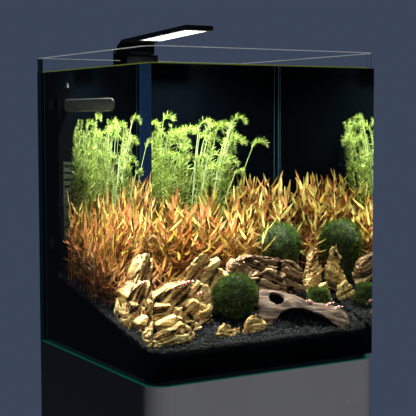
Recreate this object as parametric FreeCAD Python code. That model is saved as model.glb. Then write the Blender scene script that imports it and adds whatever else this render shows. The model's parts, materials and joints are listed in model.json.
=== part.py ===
import FreeCAD, Part
import math
import os

os.makedirs("parts", exist_ok=True)
V = FreeCAD.Vector

# Overall sizes, millimetres. The origin is the middle of the footprint, on the floor; front is -Y.
WIDTH = 380.0
DEPTH = 380.0
TANK_H = 450.0
STAND_H = 720.0
GLASS = 6.0
CORNER_R = 30.0
SEAM = 1.0
WATER_DROP = 23.0
FILM_T = 0.5

# Stand.
BOARD = 16.0
BACK_BOARD = 12.0
TOP_BOARD = 18.0
DOOR_SIDE = 52.0
DOOR_LOW = 62.0
DOOR_TOP = 112.0
DOOR_GAP = 2.0
PIVOT_IN = 18.0
PIN_R = 4.0
PIN_LEN = 26.0
RUN = 0.05
SHELF_Z = 330.0
SHELF_T = 16.0
SHELF_PIN_R = 2.5
PORT_R = 25.0
PORT_DROP = 120.0

# Planted bed. The stones and plants are laid out for a bed of BED_LAYOUT by BED_LAYOUT.
BED_T = 44.0
BED_SLOPE = 0.21
BED_LAYOUT = 368.0
GREEN_DROP = 69.0
ORANGE_DROP = 187.0

# Lamp.
LAMP_X = -48.0
LAMP_W = 46.0
CLAMP_W = 56.0
CLAMP_OUT = 19.0
CLAMP_IN = 33.0
PAD_T = 1.0
HEAD_T = 7.0
HEAD_IN = 14.0
HEAD_LEN = 213.0
HEAD_UP = 2.4
HEAD_RISE = 26.0
TILT_OUT = 13.0
TILT_RISE = 14.0

# Corner filter.
FIL_W = 52.0
FIL_WALL = 2.5
FIL_CLEAR = 6.2
FIL_DROP = 48.0
PUMP_H = 47.0
CUP_T = 5.0
NOZZLE_R = 9.5
NOZZLE_DROP = 27.0
NOZZLE_LEN = 163.0

TOP = STAND_H + TANK_H
HW = WIDTH / 2
HD = DEPTH / 2
WATER_Z = TOP - WATER_DROP
DOOR_W = WIDTH - 2 * DOOR_SIDE
DOOR_HIGH = STAND_H - DOOR_TOP
PORT_Z = STAND_H - PORT_DROP
BED_FRONT = STAND_H + BED_T
CLAMP_BACK = HD + CLAMP_OUT
CLAMP_FRONT = HD - CLAMP_IN
HEAD_BACK = HD - HEAD_IN
HEAD_Z = TOP + HEAD_RISE
TILT_Y = HD + TILT_OUT
TILT_Z = TOP + TILT_RISE
FIL_LOW = round(BED_FRONT + BED_SLOPE * DEPTH + FIL_CLEAR, 3)
FIL_TOP = TOP - FIL_DROP
FIL_SPLIT = FIL_TOP - PUMP_H
NOZZLE_Z = FIL_TOP - NOZZLE_DROP
ACROSS = (WIDTH - 2 * GLASS) / BED_LAYOUT
ALONG = (DEPTH - 2 * GLASS) / BED_LAYOUT
SHRINK = min(ACROSS, ALONG)


def box(x0, x1, y0, y1, z0, z1):
    return Part.makeBox(x1 - x0, y1 - y0, z1 - z0, V(x0, y0, z0))


def rod(r, a, b):
    """A round bar of radius r from point a to point b."""
    d = V(*b) - V(*a)
    return Part.makeCylinder(r, d.Length, V(*a), d)


def prism(points, x0, x1):
    """A side profile given as (y, z) points, drawn out from x0 to x1."""
    wire = Part.makePolygon([V(x0, y, z) for y, z in points + points[:1]])
    return Part.Face(wire).extrude(V(x1 - x0, 0, 0))


def round_front(x0, x1, y0, y1, z0, z1, r):
    """A block whose two upright front edges are rounded to radius r."""
    s = box(x0, x1, y0, y1, z0, z1)
    edges = [
        e
        for e in s.Edges
        if abs(e.Vertexes[0].Z - e.Vertexes[-1].Z) > 0.5 * (z1 - z0)
        and abs(e.Vertexes[0].Y - y0) < 0.01
    ]
    return s.makeFillet(r, edges)


def put(name, shapes):
    """Writes one node, with each solid of it kept separate."""
    solids = []
    for s in shapes if isinstance(shapes, list) else [shapes]:
        solids += s.Solids
    shape = solids[0] if len(solids) == 1 else Part.makeCompound(solids)
    shape.exportStep("parts/" + name + ".step")


def bed_z(y):
    return BED_FRONT + BED_SLOPE * (y + HD)


def above_bed(shape):
    """Keeps what stands above the sloping surface of the bed."""
    pts = [(-HD, bed_z(-HD)), (HD, bed_z(HD)), (HD, TOP), (-HD, TOP)]
    return shape.common(prism(pts, -HW, HW))


# ---- stand ----
inner_x = HW - BOARD
inner_y = HD - BACK_BOARD
shell = round_front(-HW, HW, -HD, HD, 0, STAND_H, CORNER_R)
hollow = round_front(-inner_x, inner_x, -HD + BOARD, HD, 0, STAND_H, CORNER_R - BOARD)
shell = shell.cut(hollow.fuse(box(-inner_x, inner_x, inner_y, HD + 1, 0, STAND_H)))
door_x = DOOR_W / 2
opening = box(
    -door_x - DOOR_GAP,
    door_x + DOOR_GAP,
    -HD - 1,
    -HD + BOARD + 0.01,
    DOOR_LOW - DOOR_GAP,
    DOOR_HIGH + DOOR_GAP,
)
shell = shell.cut(opening)
pivot_x = -door_x + PIVOT_IN
pivot_y = -HD + BOARD / 2
pin_top = (DOOR_HIGH - PIN_LEN / 2, DOOR_HIGH + PIN_LEN / 2)
pin_low = (DOOR_LOW - PIN_LEN / 2, DOOR_LOW + PIN_LEN / 2)
sockets = [
    rod(PIN_R + RUN, (pivot_x, pivot_y, a - 1), (pivot_x, pivot_y, b + 1))
    for a, b in (pin_top, pin_low)
]
for s in sockets:
    shell = shell.cut(s)
pin_spots = [
    (side * (inner_x + 10), side * (inner_x - 10), y)
    for side in (-1, 1)
    for y in (-HD + 70, HD - 50)
]
shelf_pins = [
    rod(SHELF_PIN_R, (a, y, SHELF_Z - SHELF_PIN_R), (b, y, SHELF_Z - SHELF_PIN_R))
    for a, b, y in pin_spots
]
for s in shelf_pins:
    shell = shell.cut(s)
put("stand_shell", shell)
put("shelf_pins", shelf_pins)

inside = round_front(-inner_x, inner_x, -HD + BOARD, inner_y, 0, STAND_H, CORNER_R - BOARD)
put("top_panel", inside.common(box(-HW, HW, -HD, HD, STAND_H - TOP_BOARD, STAND_H)))
put("bottom_panel", inside.common(box(-HW, HW, -HD, HD, 0, TOP_BOARD)))
put("shelf", box(-inner_x + 0.5, inner_x - 0.5, -HD + 40, inner_y - 0.5, SHELF_Z, SHELF_Z + SHELF_T))

port = rod(PORT_R, (0, inner_y - 1, PORT_Z), (0, HD + 1, PORT_Z))
put("back_panel", box(-inner_x, inner_x, inner_y, HD, 0, STAND_H).cut(port))
grommet = rod(PORT_R, (0, inner_y - 2, PORT_Z), (0, HD, PORT_Z))
grommet = grommet.fuse(rod(PORT_R + 4, (0, inner_y - 2, PORT_Z), (0, inner_y, PORT_Z)))
grommet = grommet.cut(rod(PORT_R - 3, (0, inner_y - 3, PORT_Z), (0, HD + 1, PORT_Z)))
put("port_grommet", grommet)

door = box(-door_x, door_x, -HD, -HD + BOARD, DOOR_LOW, DOOR_HIGH)
pins = [
    rod(PIN_R, (pivot_x, pivot_y, a), (pivot_x, pivot_y, b)) for a, b in (pin_top, pin_low)
]
for s in pins:
    door = door.cut(s)
STRIKE_X = door_x - 43
STRIKE_Z = DOOR_HIGH - 18
STRIKE_R = 9.0
strike = rod(STRIKE_R, (STRIKE_X, -HD + BOARD - 1.5, STRIKE_Z), (STRIKE_X, -HD + BOARD, STRIKE_Z))
put("door", door.cut(strike))
put("strike_plate", strike)
put("door_pins", pins)

# A batten behind the top of the door carries the push latch.
stop_x = (STRIKE_X - 55, STRIKE_X + 35)
stop_z = (DOOR_HIGH - 36, DOOR_HIGH + 42)
stop = box(*stop_x, -HD + BOARD, -HD + BOARD + 20, DOOR_HIGH + DOOR_GAP + 4, stop_z[1])
stop = stop.fuse(box(*stop_x, -HD + BOARD + 3, -HD + BOARD + 20, *stop_z))
LATCH_R = 6.0
PLUNGER_R = 3.5
latch_y = -HD + BOARD + 3
latch_hole = rod(LATCH_R, (STRIKE_X, latch_y - 1, STRIKE_Z), (STRIKE_X, latch_y + 30, STRIKE_Z))
put("door_stop", stop.cut(latch_hole))
latch = rod(LATCH_R, (STRIKE_X, latch_y, STRIKE_Z), (STRIKE_X, latch_y + 26, STRIKE_Z))
latch = latch.fuse(rod(LATCH_R + 2, (STRIKE_X, latch_y + 17, STRIKE_Z), (STRIKE_X, latch_y + 19, STRIKE_Z)))
bore = rod(PLUNGER_R + RUN, (STRIKE_X, latch_y - 1, STRIKE_Z), (STRIKE_X, latch_y + 22, STRIKE_Z))
put("latch_body", latch.cut(bore))
plunger = rod(PLUNGER_R, (STRIKE_X, latch_y - 2.8, STRIKE_Z), (STRIKE_X, latch_y + 16, STRIKE_Z))
put("latch_plunger", plunger)

# ---- tank ----
walls = round_front(-HW, HW, -HD, HD, STAND_H, TOP, CORNER_R)
gap_in = round_front(-HW + GLASS, HW - GLASS, -HD + GLASS, HD + 1, STAND_H, TOP, CORNER_R - GLASS)
put("bent_glass", walls.cut(gap_in))
bx = HW - GLASS - SEAM
put("back_pane", box(-bx, bx, HD - GLASS, HD, STAND_H, TOP))
base = round_front(
    -bx, bx, -HD + GLASS + SEAM, HD - GLASS - SEAM, STAND_H, STAND_H + GLASS, CORNER_R - GLASS - SEAM
)
put("base_pane", base)
ring = round_front(
    -bx - SEAM, bx + SEAM, -HD + GLASS, HD - GLASS, STAND_H, STAND_H + GLASS, CORNER_R - GLASS
)
seams = [
    ring.cut(base),
    box(-bx - SEAM, -bx, HD - GLASS, HD, STAND_H, TOP),
    box(bx, bx + SEAM, HD - GLASS, HD, STAND_H, TOP),
]
put("silicone_seams", seams)
put("background_film", box(-HW, HW, HD, HD + FILM_T, STAND_H, WATER_Z))

# ---- planted bed ----
bed_x = HW - GLASS - 0.5
bed_y = HD - GLASS - 0.5
bed = round_front(-bed_x, bed_x, -bed_y, bed_y, STAND_H + GLASS, TOP, CORNER_R - GLASS - 0.5)
pts = [(-HD, STAND_H), (HD, STAND_H), (HD, bed_z(HD)), (-HD, bed_z(-HD))]
put("gravel_bed", bed.common(prism(pts, -HW, HW)))


def stone(x, y, w, d, height, turn, cuts):
    """A broken stone: a block with corners split off by planes given as (azimuth, rise, reach)."""
    x, y, w, d = x * ACROSS, y * ALONG, w * SHRINK, d * SHRINK
    z0 = bed_z(y) - 25
    h = (BED_FRONT + height - z0) / 2
    s = box(-w / 2, w / 2, -d / 2, d / 2, -h, h)
    for az, rise, reach in cuts:
        a = math.radians(az)
        e = math.radians(rise)
        n = V(math.cos(a) * math.cos(e), math.sin(a) * math.cos(e), math.sin(e))
        extent = abs(n.x) * w / 2 + abs(n.y) * d / 2 + abs(n.z) * h
        blade = Part.makeBox(600, 600, 300, V(-300, -300, 0))
        blade.Placement = FreeCAD.Placement(n * (extent * reach), FreeCAD.Rotation(V(0, 0, 1), n))
        s = s.cut(blade)
    s.rotate(V(0, 0, 0), V(0, 0, 1), turn)
    s.translate(V(x, y, z0 + h))
    return above_bed(s)


SPLIT_A = ((35, 30, 0.72), (140, 42, 0.78), (215, 20, 0.8), (300, 35, 0.74), (75, 5, 0.84))
SPLIT_B = ((20, 40, 0.7), (120, 25, 0.76), (250, 48, 0.72), (330, 15, 0.8), (190, 8, 0.86))
main_rock = stone(-62, -30, 84, 74, 117, 12, SPLIT_A)
put("main_rock", main_rock)
put("left_rock", stone(-136, -62, 52, 64, 54, -18, SPLIT_B).cut(main_rock))
put("front_slab", stone(-142, -148, 66, 30, 24, 8, SPLIT_A))
put("middle_rock", stone(62, -20, 132, 34, 102, -8, SPLIT_B))
put("side_rock", stone(163, 2, 32, 30, 116, 10, SPLIT_A))
put("low_rock", stone(160, -40, 34, 22, 58, -12, SPLIT_B))
front_stones = [
    stone(-52, -140, 42, 22, 29, 14, SPLIT_B),
    stone(-8, -136, 40, 20, 35, -16, SPLIT_A),
]
put("front_stones", front_stones)


def moss(x, y, r, height, stem):
    """A ball of moss whose top is at most a given height above the front of the bed."""
    low = BED_FRONT + height - 2 * r
    x, y, r = x * ACROSS, y * ALONG, r * SHRINK
    s = Part.makeSphere(r, V(x, y, low + r))
    if stem:
        s = s.fuse(rod(r * 0.75, (x, y, bed_z(y) - 12), (x, y, low + r)))
    return above_bed(s)


put("front_moss_ball", moss(-12, -84, 33, 88, False).cut(main_rock))
put("rear_moss_ball", moss(124, 48, 38, 148, True))
pad_at = V(138 * ACROSS, -76 * ALONG, BED_FRONT + 20)
put("moss_pad", above_bed(Part.makeCone(24 * SHRINK, 15 * SHRINK, 34, pad_at, V(0, 0, 1))))

# A hollow log: a tapering half shell with a hole on top and an arched way in at the front.
LOG_WALL = 7.0
LOG_A = V(42 * ACROSS, -82 * ALONG, BED_FRONT + 12)
LOG_B = V(152 * ACROSS, -158 * ALONG, BED_FRONT)
log_r = (44 * SHRINK, 18 * SHRINK)
run = LOG_B - LOG_A
log = Part.makeCone(*log_r, run.Length, LOG_A, run)
log = log.cut(Part.makeCone(log_r[0] - LOG_WALL, log_r[1] - LOG_WALL, run.Length, LOG_A - run * 0.001, run))
hole = (56 * ACROSS, -92 * ALONG)
log = log.cut(rod(12 * SHRINK, (*hole, BED_FRONT + 16), (*hole, BED_FRONT + 76)))
side = V(run.y, -run.x, 0).normalize()
way_at = LOG_A + run * 0.22 + side * (46 * SHRINK) + V(0, 0, 6)
way = Part.makeCone(26 * SHRINK, 10 * SHRINK, 74 * SHRINK, way_at, run)
front_cut = above_bed(log.cut(way))
put("driftwood", front_cut)

# Stem plants as slim tapering columns that stand on the bed.
green = []
GREEN_SPOTS = ((-14, 118), (12, 104), (38, 112), (2, 146), (30, 144), (58, 128), (-92, 112), (-66, 138), (-42, 114))
for i, (x, y) in enumerate(GREEN_SPOTS):
    low = BED_FRONT + 56
    tip = WATER_Z - GREEN_DROP - 14 * (i % 3)
    foot = V(x * ACROSS, y * ALONG, low)
    green.append(above_bed(Part.makeCone(5, 9, tip - low, foot, V(0, 0, 1))))
put("green_stem_plants", green)
orange = []
for row, y in enumerate((70.0, 96.0, 160.0)):
    for k in range(9):
        x = -160 + 40 * k + 9 * (row % 2)
        near_filter = x < -105 and y > 100
        near_green = -110 < x < 80 and y > 85
        near_moss = 64 < x < 176 and y < 94
        if not (near_filter or near_green or near_moss) and x < 172:
            low = BED_FRONT + 51
            tip = WATER_Z - ORANGE_DROP + 7 * ((3 * k + row) % 4)
            foot = V(x * ACROSS, y * ALONG, low)
            orange.append(above_bed(Part.makeCone(4, 8, tip - low, foot, V(0, 0, 1))))
put("orange_leaf_plants", orange)

# ---- corner filter ----
fx0 = -HW + GLASS + CUP_T
fy1 = HD - GLASS - CUP_T
fx1 = fx0 + FIL_W
fy0 = fy1 - FIL_W
cx = fx0 + FIL_W / 2
cy = fy1 - FIL_W / 2
body = box(fx0, fx1, fy0, fy1, FIL_LOW, FIL_SPLIT)
body = body.cut(box(fx0 + FIL_WALL, fx1 - FIL_WALL, fy0 + FIL_WALL, fy1 - FIL_WALL, FIL_LOW + 3, FIL_SPLIT + 1))
win = (fx0 + 18, fx1 - FIL_WALL, FIL_LOW + 36, FIL_SPLIT - 67)
body = body.cut(box(win[0], win[1], fy0 - 1, fy0 + FIL_WALL, win[2], win[3]))
put("filter_housing", body)
grille = box(win[0], win[1], fy0, fy0 + FIL_WALL, win[2], win[3])
BAR_PITCH = 10.5
for k in range(int((win[3] - win[2] - 17) / BAR_PITCH + 1.001)):
    z = win[2] + 8 + BAR_PITCH * k
    grille = grille.cut(box(win[0] + 4, win[1] - 4, fy0 - 1, fy0 + FIL_WALL + 1, z, z + 4))
put("filter_grille", grille)
put("filter_sponge", box(fx0 + 4, fx1 - 4, fy0 + 4, fy1 - 4, FIL_LOW + 3, FIL_SPLIT - 18))
out_x = fx1 - 18
head = box(fx0, fx1, fy0, fy1, FIL_SPLIT, FIL_TOP - 3)
chamber = rod(14, (cx, cy, FIL_SPLIT - 1), (cx, cy, FIL_SPLIT + 27))
SPIGOT_R = 5.5
spout = rod(SPIGOT_R + RUN, (out_x, cy - 6, NOZZLE_Z), (out_x, fy0 - 1, NOZZLE_Z))
motor = rod(17, (cx, cy, FIL_SPLIT + 29), (cx, cy, FIL_TOP - 3))
DIAL_R = 6.0
dial_x = fx1 - 9
dial_y = fy0 + 9
stem_hole = rod(2 + RUN, (dial_x, dial_y, FIL_TOP - 9), (dial_x, dial_y, FIL_TOP + 1))
for s in (chamber, spout, motor, stem_hole):
    head = head.cut(s)
put("pump_head", head)
put("pump_motor", motor)
lid = box(fx0, fx1, fy0, fy1, FIL_TOP - 3, FIL_TOP).cut(stem_hole)
put("pump_lid", lid)
SHAFT_R = 1.5
plate = box(fx0 + FIL_WALL, fx1 - FIL_WALL, fy0 + FIL_WALL, fy1 - FIL_WALL, FIL_SPLIT - 4, FIL_SPLIT)
plate = plate.cut(rod(8, (cx, cy, FIL_SPLIT - 5), (cx, cy, FIL_SPLIT + 1)))
spider = box(cx - 9, cx + 9, cy - 2.5, cy + 2.5, FIL_SPLIT - 4, FIL_SPLIT)
put("pump_strainer", plate.fuse(spider))
shaft = rod(SHAFT_R, (cx, cy, FIL_SPLIT), (cx, cy, FIL_SPLIT + 27))
put("impeller_shaft", shaft)
wheel = rod(4, (cx, cy, FIL_SPLIT + 3), (cx, cy, FIL_SPLIT + 25))
for k in range(4):
    blade = box(cx - 11, cx + 11, cy - 0.8, cy + 0.8, FIL_SPLIT + 4, FIL_SPLIT + 15)
    blade.rotate(V(cx, cy, 0), V(0, 0, 1), 45 * k)
    wheel = wheel.fuse(blade)
wheel = wheel.cut(rod(SHAFT_R + RUN, (cx, cy, FIL_SPLIT), (cx, cy, FIL_SPLIT + 30)))
put("impeller", wheel)
ball_y = fy0 - NOZZLE_LEN + NOZZLE_R
tube = rod(NOZZLE_R, (out_x, fy0 - 0.5, NOZZLE_Z), (out_x, ball_y, NOZZLE_Z))
tube = tube.fuse(Part.makeSphere(NOZZLE_R, V(out_x, ball_y, NOZZLE_Z)))
tube = tube.fuse(rod(SPIGOT_R, (out_x, fy0 + 10, NOZZLE_Z), (out_x, fy0 - 4, NOZZLE_Z)))
tube = tube.cut(rod(NOZZLE_R - 2, (out_x, fy0 - 4, NOZZLE_Z), (out_x, ball_y, NOZZLE_Z)))
tube = tube.cut(rod(3.5, (out_x, fy0 + 11, NOZZLE_Z), (out_x, fy0 - 5, NOZZLE_Z)))
SLOT_PITCH = 10.2
for k in range(int((NOZZLE_LEN - 60) / SLOT_PITCH + 1.001)):
    y = fy0 - 38 - SLOT_PITCH * k
    tube = tube.cut(box(out_x - 12, out_x - 2, y - 4, y, NOZZLE_Z + 1, NOZZLE_Z + 7.5))
put("outlet_nozzle", tube)
dial = rod(DIAL_R, (dial_x, dial_y, FIL_TOP + 0.3), (dial_x, dial_y, FIL_TOP + 5))
dial = dial.fuse(box(dial_x - 1.2, dial_x + 1.2, dial_y - 5, dial_y + 5, FIL_TOP + 4, FIL_TOP + 8))
dial = dial.fuse(rod(2, (dial_x, dial_y, FIL_TOP - 8), (dial_x, dial_y, FIL_TOP + 1)))
put("flow_dial", dial)
cups = []
for z in (FIL_LOW + 30, FIL_SPLIT + 22):
    cups.append(rod(9, (fx0, cy, z), (fx0 - CUP_T, cy, z)))
    cups.append(rod(9, (cx, fy1, z), (cx, fy1 + CUP_T, z)))
put("suction_cups", cups)

# ---- lamp ----
lx1 = LAMP_X + LAMP_W
cx1 = LAMP_X + CLAMP_W
jaw_low = WATER_Z + 2
slot = GLASS + PAD_T
bridge_z = TOP + 1
deck_z = TOP + 8
clamp = box(LAMP_X, cx1, CLAMP_FRONT, CLAMP_BACK, jaw_low, deck_z)
clamp = clamp.cut(box(LAMP_X - 1, cx1 + 1, HD - slot, HD + 1.5, jaw_low - 1, bridge_z))
ears = []
for a in (LAMP_X, lx1 - 8):
    ear = rod(6, (a, TILT_Y, TILT_Z), (a + 8, TILT_Y, TILT_Z))
    ears.append(ear.fuse(box(a, a + 8, TILT_Y - 6, TILT_Y + 6, deck_z - 1, TILT_Z)))
for s in ears:
    clamp = clamp.fuse(s)
for k in range(5):
    x = cx1 - 5 - 6 * k
    clamp = clamp.cut(box(x - 2, x, CLAMP_FRONT - 1, CLAMP_FRONT + 1.5, jaw_low + 3, TOP + 2))
TILT_PIN_R = 2.0
tilt_pin = rod(TILT_PIN_R, (LAMP_X, TILT_Y, TILT_Z), (lx1, TILT_Y, TILT_Z))
clamp = clamp.cut(tilt_pin)
SCREW_R = 3.0
sx = (LAMP_X + cx1) / 2
sz = TOP - 9
clamp = clamp.cut(rod(SCREW_R + RUN, (sx, HD + 1, sz), (sx, CLAMP_BACK + 1, sz)))
gland_x = LAMP_X + 10
gland = rod(3.5, (gland_x, CLAMP_BACK - 5, sz), (gland_x, CLAMP_BACK + 6, sz))
clamp = clamp.cut(gland)
put("clamp_body", clamp)
put("tilt_pin", tilt_pin)
put("cable_gland", gland)
pads = [
    box(LAMP_X + 4, cx1 - 4, HD - slot, HD - GLASS, jaw_low + 2, TOP - 3),
    box(LAMP_X + 4, cx1 - 4, HD, HD + 1.5, jaw_low + 2, TOP - 3),
]
put("clamp_pads", pads)
screw = rod(SCREW_R, (sx, HD + 1.7, sz), (sx, CLAMP_BACK + 1, sz))
screw = screw.fuse(rod(8, (sx, CLAMP_BACK + 0.4, sz), (sx, CLAMP_BACK + 10, sz)))
for k in range(10):
    a = math.radians(36 * k)
    gx = sx + 8.6 * math.cos(a)
    gz = sz + 8.6 * math.sin(a)
    screw = screw.cut(rod(1.4, (gx, CLAMP_BACK, gz), (gx, CLAMP_BACK + 11, gz)))
put("clamp_screw", screw)

rise = math.tan(math.radians(HEAD_UP))
arm_front = HEAD_BACK - 26
arm_low = deck_z + 0.5
lean = HEAD_BACK + HEAD_T * math.sin(math.radians(HEAD_UP))
arm_pts = [
    (TILT_Y - 7.5, arm_low),
    (arm_front, arm_low),
    (arm_front, HEAD_Z + (HEAD_BACK - arm_front) * rise),
    (HEAD_BACK, HEAD_Z),
    (lean, HEAD_Z + HEAD_T * math.cos(math.radians(HEAD_UP))),
    (TILT_Y - 7.5, HEAD_Z - 2.5),
]
arm = prism(arm_pts, LAMP_X, lx1)
kx0 = LAMP_X + 8.5
kx1 = lx1 - 8.5
knuckle = rod(6, (kx0, TILT_Y, TILT_Z), (kx1, TILT_Y, TILT_Z))
web = [(TILT_Y - 8, arm_low), (TILT_Y, arm_low), (TILT_Y, TILT_Z + 6), (TILT_Y - 8, HEAD_Z - 2.5)]
arm = arm.fuse(knuckle).fuse(prism(web, kx0, kx1))
arm = arm.cut(rod(TILT_PIN_R + RUN, (kx0 - 1, TILT_Y, TILT_Z), (kx1 + 1, TILT_Y, TILT_Z)))
put("lamp_arm", arm)


def tipped(shape):
    """Leans a piece of the lamp head up towards the front."""
    shape.rotate(V(0, HEAD_BACK, HEAD_Z), V(1, 0, 0), -HEAD_UP)
    return shape


head_y = HEAD_BACK - HEAD_LEN
cap_t = 2.0
LED_Y0 = head_y + 12
LED_Y1 = HEAD_BACK - 58
edge = 4.0
shell_top = HEAD_Z + HEAD_T
housing = box(LAMP_X, lx1, head_y + cap_t, HEAD_BACK, HEAD_Z, shell_top)
housing = housing.cut(box(LAMP_X + edge, lx1 - edge, LED_Y0, LED_Y1, HEAD_Z - 1, HEAD_Z + 5.5))
BUTTON_R = 4.0
btn_x = (LAMP_X + lx1) / 2
btn_y = HEAD_BACK - 26
housing = housing.cut(rod(BUTTON_R + RUN, (btn_x, btn_y, HEAD_Z + 2), (btn_x, btn_y, shell_top + 1)))
put("lamp_housing", tipped(housing))
put("lamp_end_cap", tipped(box(LAMP_X, lx1, head_y, head_y + cap_t, HEAD_Z, shell_top)))
put("led_board", tipped(box(LAMP_X + edge, lx1 - edge, LED_Y0, LED_Y1, HEAD_Z + 4, HEAD_Z + 5.5)))
put("lamp_diffuser", tipped(box(LAMP_X + edge, lx1 - edge, LED_Y0, LED_Y1, HEAD_Z, HEAD_Z + 2)))
button = rod(BUTTON_R, (btn_x, btn_y, HEAD_Z + 3), (btn_x, btn_y, shell_top + 1.2))
put("lamp_button", tipped(button))
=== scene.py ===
import json
import math
import random

import bmesh
import bpy
import numpy as np
from bpy.props import FloatProperty, FloatVectorProperty
from mathutils import Euler, Matrix, Vector, noise

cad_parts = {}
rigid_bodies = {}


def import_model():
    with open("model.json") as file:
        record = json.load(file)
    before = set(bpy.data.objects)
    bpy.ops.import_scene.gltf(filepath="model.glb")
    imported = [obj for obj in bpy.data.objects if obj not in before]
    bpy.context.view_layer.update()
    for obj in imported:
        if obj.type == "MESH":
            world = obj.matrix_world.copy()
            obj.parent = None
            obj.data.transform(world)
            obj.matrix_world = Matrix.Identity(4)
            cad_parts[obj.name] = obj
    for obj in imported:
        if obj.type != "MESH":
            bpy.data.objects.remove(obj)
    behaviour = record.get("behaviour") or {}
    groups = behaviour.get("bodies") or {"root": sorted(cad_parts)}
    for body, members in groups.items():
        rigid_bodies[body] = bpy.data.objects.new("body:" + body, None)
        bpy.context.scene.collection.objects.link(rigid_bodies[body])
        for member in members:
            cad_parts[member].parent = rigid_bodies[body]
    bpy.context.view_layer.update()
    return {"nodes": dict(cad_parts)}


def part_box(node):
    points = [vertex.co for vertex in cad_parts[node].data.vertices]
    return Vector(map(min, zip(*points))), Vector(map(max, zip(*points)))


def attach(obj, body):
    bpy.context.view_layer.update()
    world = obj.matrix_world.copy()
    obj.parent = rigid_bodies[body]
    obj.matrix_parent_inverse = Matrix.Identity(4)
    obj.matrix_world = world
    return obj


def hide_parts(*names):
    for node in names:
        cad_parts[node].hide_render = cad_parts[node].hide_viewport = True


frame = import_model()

bl_info = {
    "name": "Planted Aquarium on Stand",
    "version": (1, 0, 0),
    "blender": (4, 5, 0),
    "location": "View3D > Sidebar > Aquarium",
    "description": "Builds a planted glass tank with lamp, filter and cabinet stand",
    "category": "Add Mesh",
}

# ---- places read from the frame, in metres ----
GLASS_LOW, GLASS_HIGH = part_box("bent_glass")
BASE_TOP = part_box("base_pane")[1].z
WATER_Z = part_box("background_film")[1].z
PANE = GLASS_HIGH.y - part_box("back_pane")[0].y
CORNER = 0.030
BED_FRONT = 0.764
BED_SLOPE = 0.21
WATER_IOR = 1.333
FULL_TURN = 2 * math.pi

# ---- how many of each small thing ----
GRAINS = 9400
GREEN_STEMS = 46
CURLED_TIPS = 34
ORANGE_STEMS = 185
ORANGE_LEAVES = 15

# ---- the camera: place, turn in degrees (yaw, pitch, roll), lens in millimetres and upward shift ----
CAMERA_PLACE = (-0.86015, -1.46944, 1.07696)
CAMERA_TURN = (30.6359, 4.0305, 0.1097)
CAMERA_LENS = 96.52
CAMERA_SHIFT = -0.030

STAND_NODES = ("stand_shell", "door", "top_panel", "bottom_panel", "back_panel", "shelf", "door_stop")


def bed_z(y):
    """Height of the sloping bed's skin at y."""
    return BED_FRONT + BED_SLOPE * (y + GLASS_HIGH.y)


# ---- small helpers for modelling ----
def deselect():
    """Object mode with nothing selected."""
    if bpy.context.object and bpy.context.object.mode != "OBJECT":
        bpy.ops.object.mode_set(mode="OBJECT")
    bpy.ops.object.select_all(action="DESELECT")


def only(obj):
    """Selects this object alone and makes it active."""
    deselect()
    obj.select_set(True)
    bpy.context.view_layer.objects.active = obj
    return obj


def settle(obj):
    """Leaves the object at the origin, unturned and unscaled, with its place in its mesh."""
    only(obj)
    bpy.ops.object.transform_apply(location=True, rotation=True, scale=True)
    return obj


def mesh_object(name, verts, faces, smooth=False):
    """A new mesh in the scene from points and faces."""
    mesh = bpy.data.meshes.new(name)
    mesh.from_pydata([tuple(v) for v in verts], [], [tuple(f) for f in faces])
    mesh.update()
    obj = bpy.data.objects.new(name, mesh)
    bpy.context.scene.collection.objects.link(obj)
    if smooth:
        for p in mesh.polygons:
            p.use_smooth = True
    return obj


def points(obj):
    """The mesh's points as rows of x, y, z."""
    co = np.empty(len(obj.data.vertices) * 3)
    obj.data.vertices.foreach_get("co", co)
    return co.reshape(-1, 3)


def normals(obj):
    """The mesh's point normals as rows."""
    no = np.empty(len(obj.data.vertices) * 3)
    obj.data.vertices.foreach_get("normal", no)
    return no.reshape(-1, 3)


def move_points(obj, co):
    """Moves every point to the given rows."""
    obj.data.vertices.foreach_set("co", co.ravel())
    obj.data.update()


def store(obj, name, values):
    """Keeps one number per point under a name that a material can read."""
    kept = obj.data.attributes.get(name) or obj.data.attributes.new(name, "FLOAT", "POINT")
    kept.data.foreach_set("value", np.asarray(values, dtype=float))


def read(obj, name):
    """The stored numbers, one per point."""
    values = np.zeros(len(obj.data.vertices))
    obj.data.attributes[name].data.foreach_get("value", values)
    return values


def repeat_mesh(name, proto, transforms):
    """One object made of many placed copies of a small prototype's mesh, each with its own shade."""
    mesh = proto.data
    n = len(mesh.vertices)
    co = np.c_[points(proto), np.ones(n)]
    faces = [tuple(p.vertices) for p in mesh.polygons]
    mats = np.array([np.array(m) for m in transforms])
    pts = np.einsum("kij,nj->kni", mats, co)[..., :3].reshape(-1, 3)
    all_faces = [tuple(v + k * n for v in f) for k in range(len(mats)) for f in faces]
    obj = mesh_object(name, pts, all_faces, mesh.polygons[0].use_smooth)
    store(obj, "shade", np.repeat(np.random.default_rng(5).random(len(mats)), n))
    bpy.data.objects.remove(proto)
    return obj


# ---- materials ----
def material(name):
    """An empty node material: the material, its tree and its output."""
    mat = bpy.data.materials.new(name)
    mat.use_nodes = True
    tree = mat.node_tree
    tree.nodes.clear()
    out = tree.nodes.new("ShaderNodeOutputMaterial")
    return mat, tree, out


def node(tree, kind, **values):
    """Adds a shader node and sets its sockets; an underscore stands for a space."""
    made = tree.nodes.new("ShaderNode" + kind)
    for key, value in values.items():
        made.inputs[key.replace("_", " ")].default_value = value
    return made


def principled(tree, out, **values):
    """A principled shader joined to the output."""
    shader = node(tree, "BsdfPrincipled", **values)
    tree.links.new(shader.outputs[0], out.inputs["Surface"])
    return shader


def use(obj, mat):
    """Gives the whole object one material."""
    obj.data.materials.clear()
    obj.data.materials.append(mat)


def object_coords(tree):
    return node(tree, "TexCoord").outputs["Object"]


def attribute(tree, name):
    """A number stored on the mesh under this name."""
    kept = node(tree, "Attribute")
    kept.attribute_name = name
    return kept.outputs["Fac"]


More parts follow.
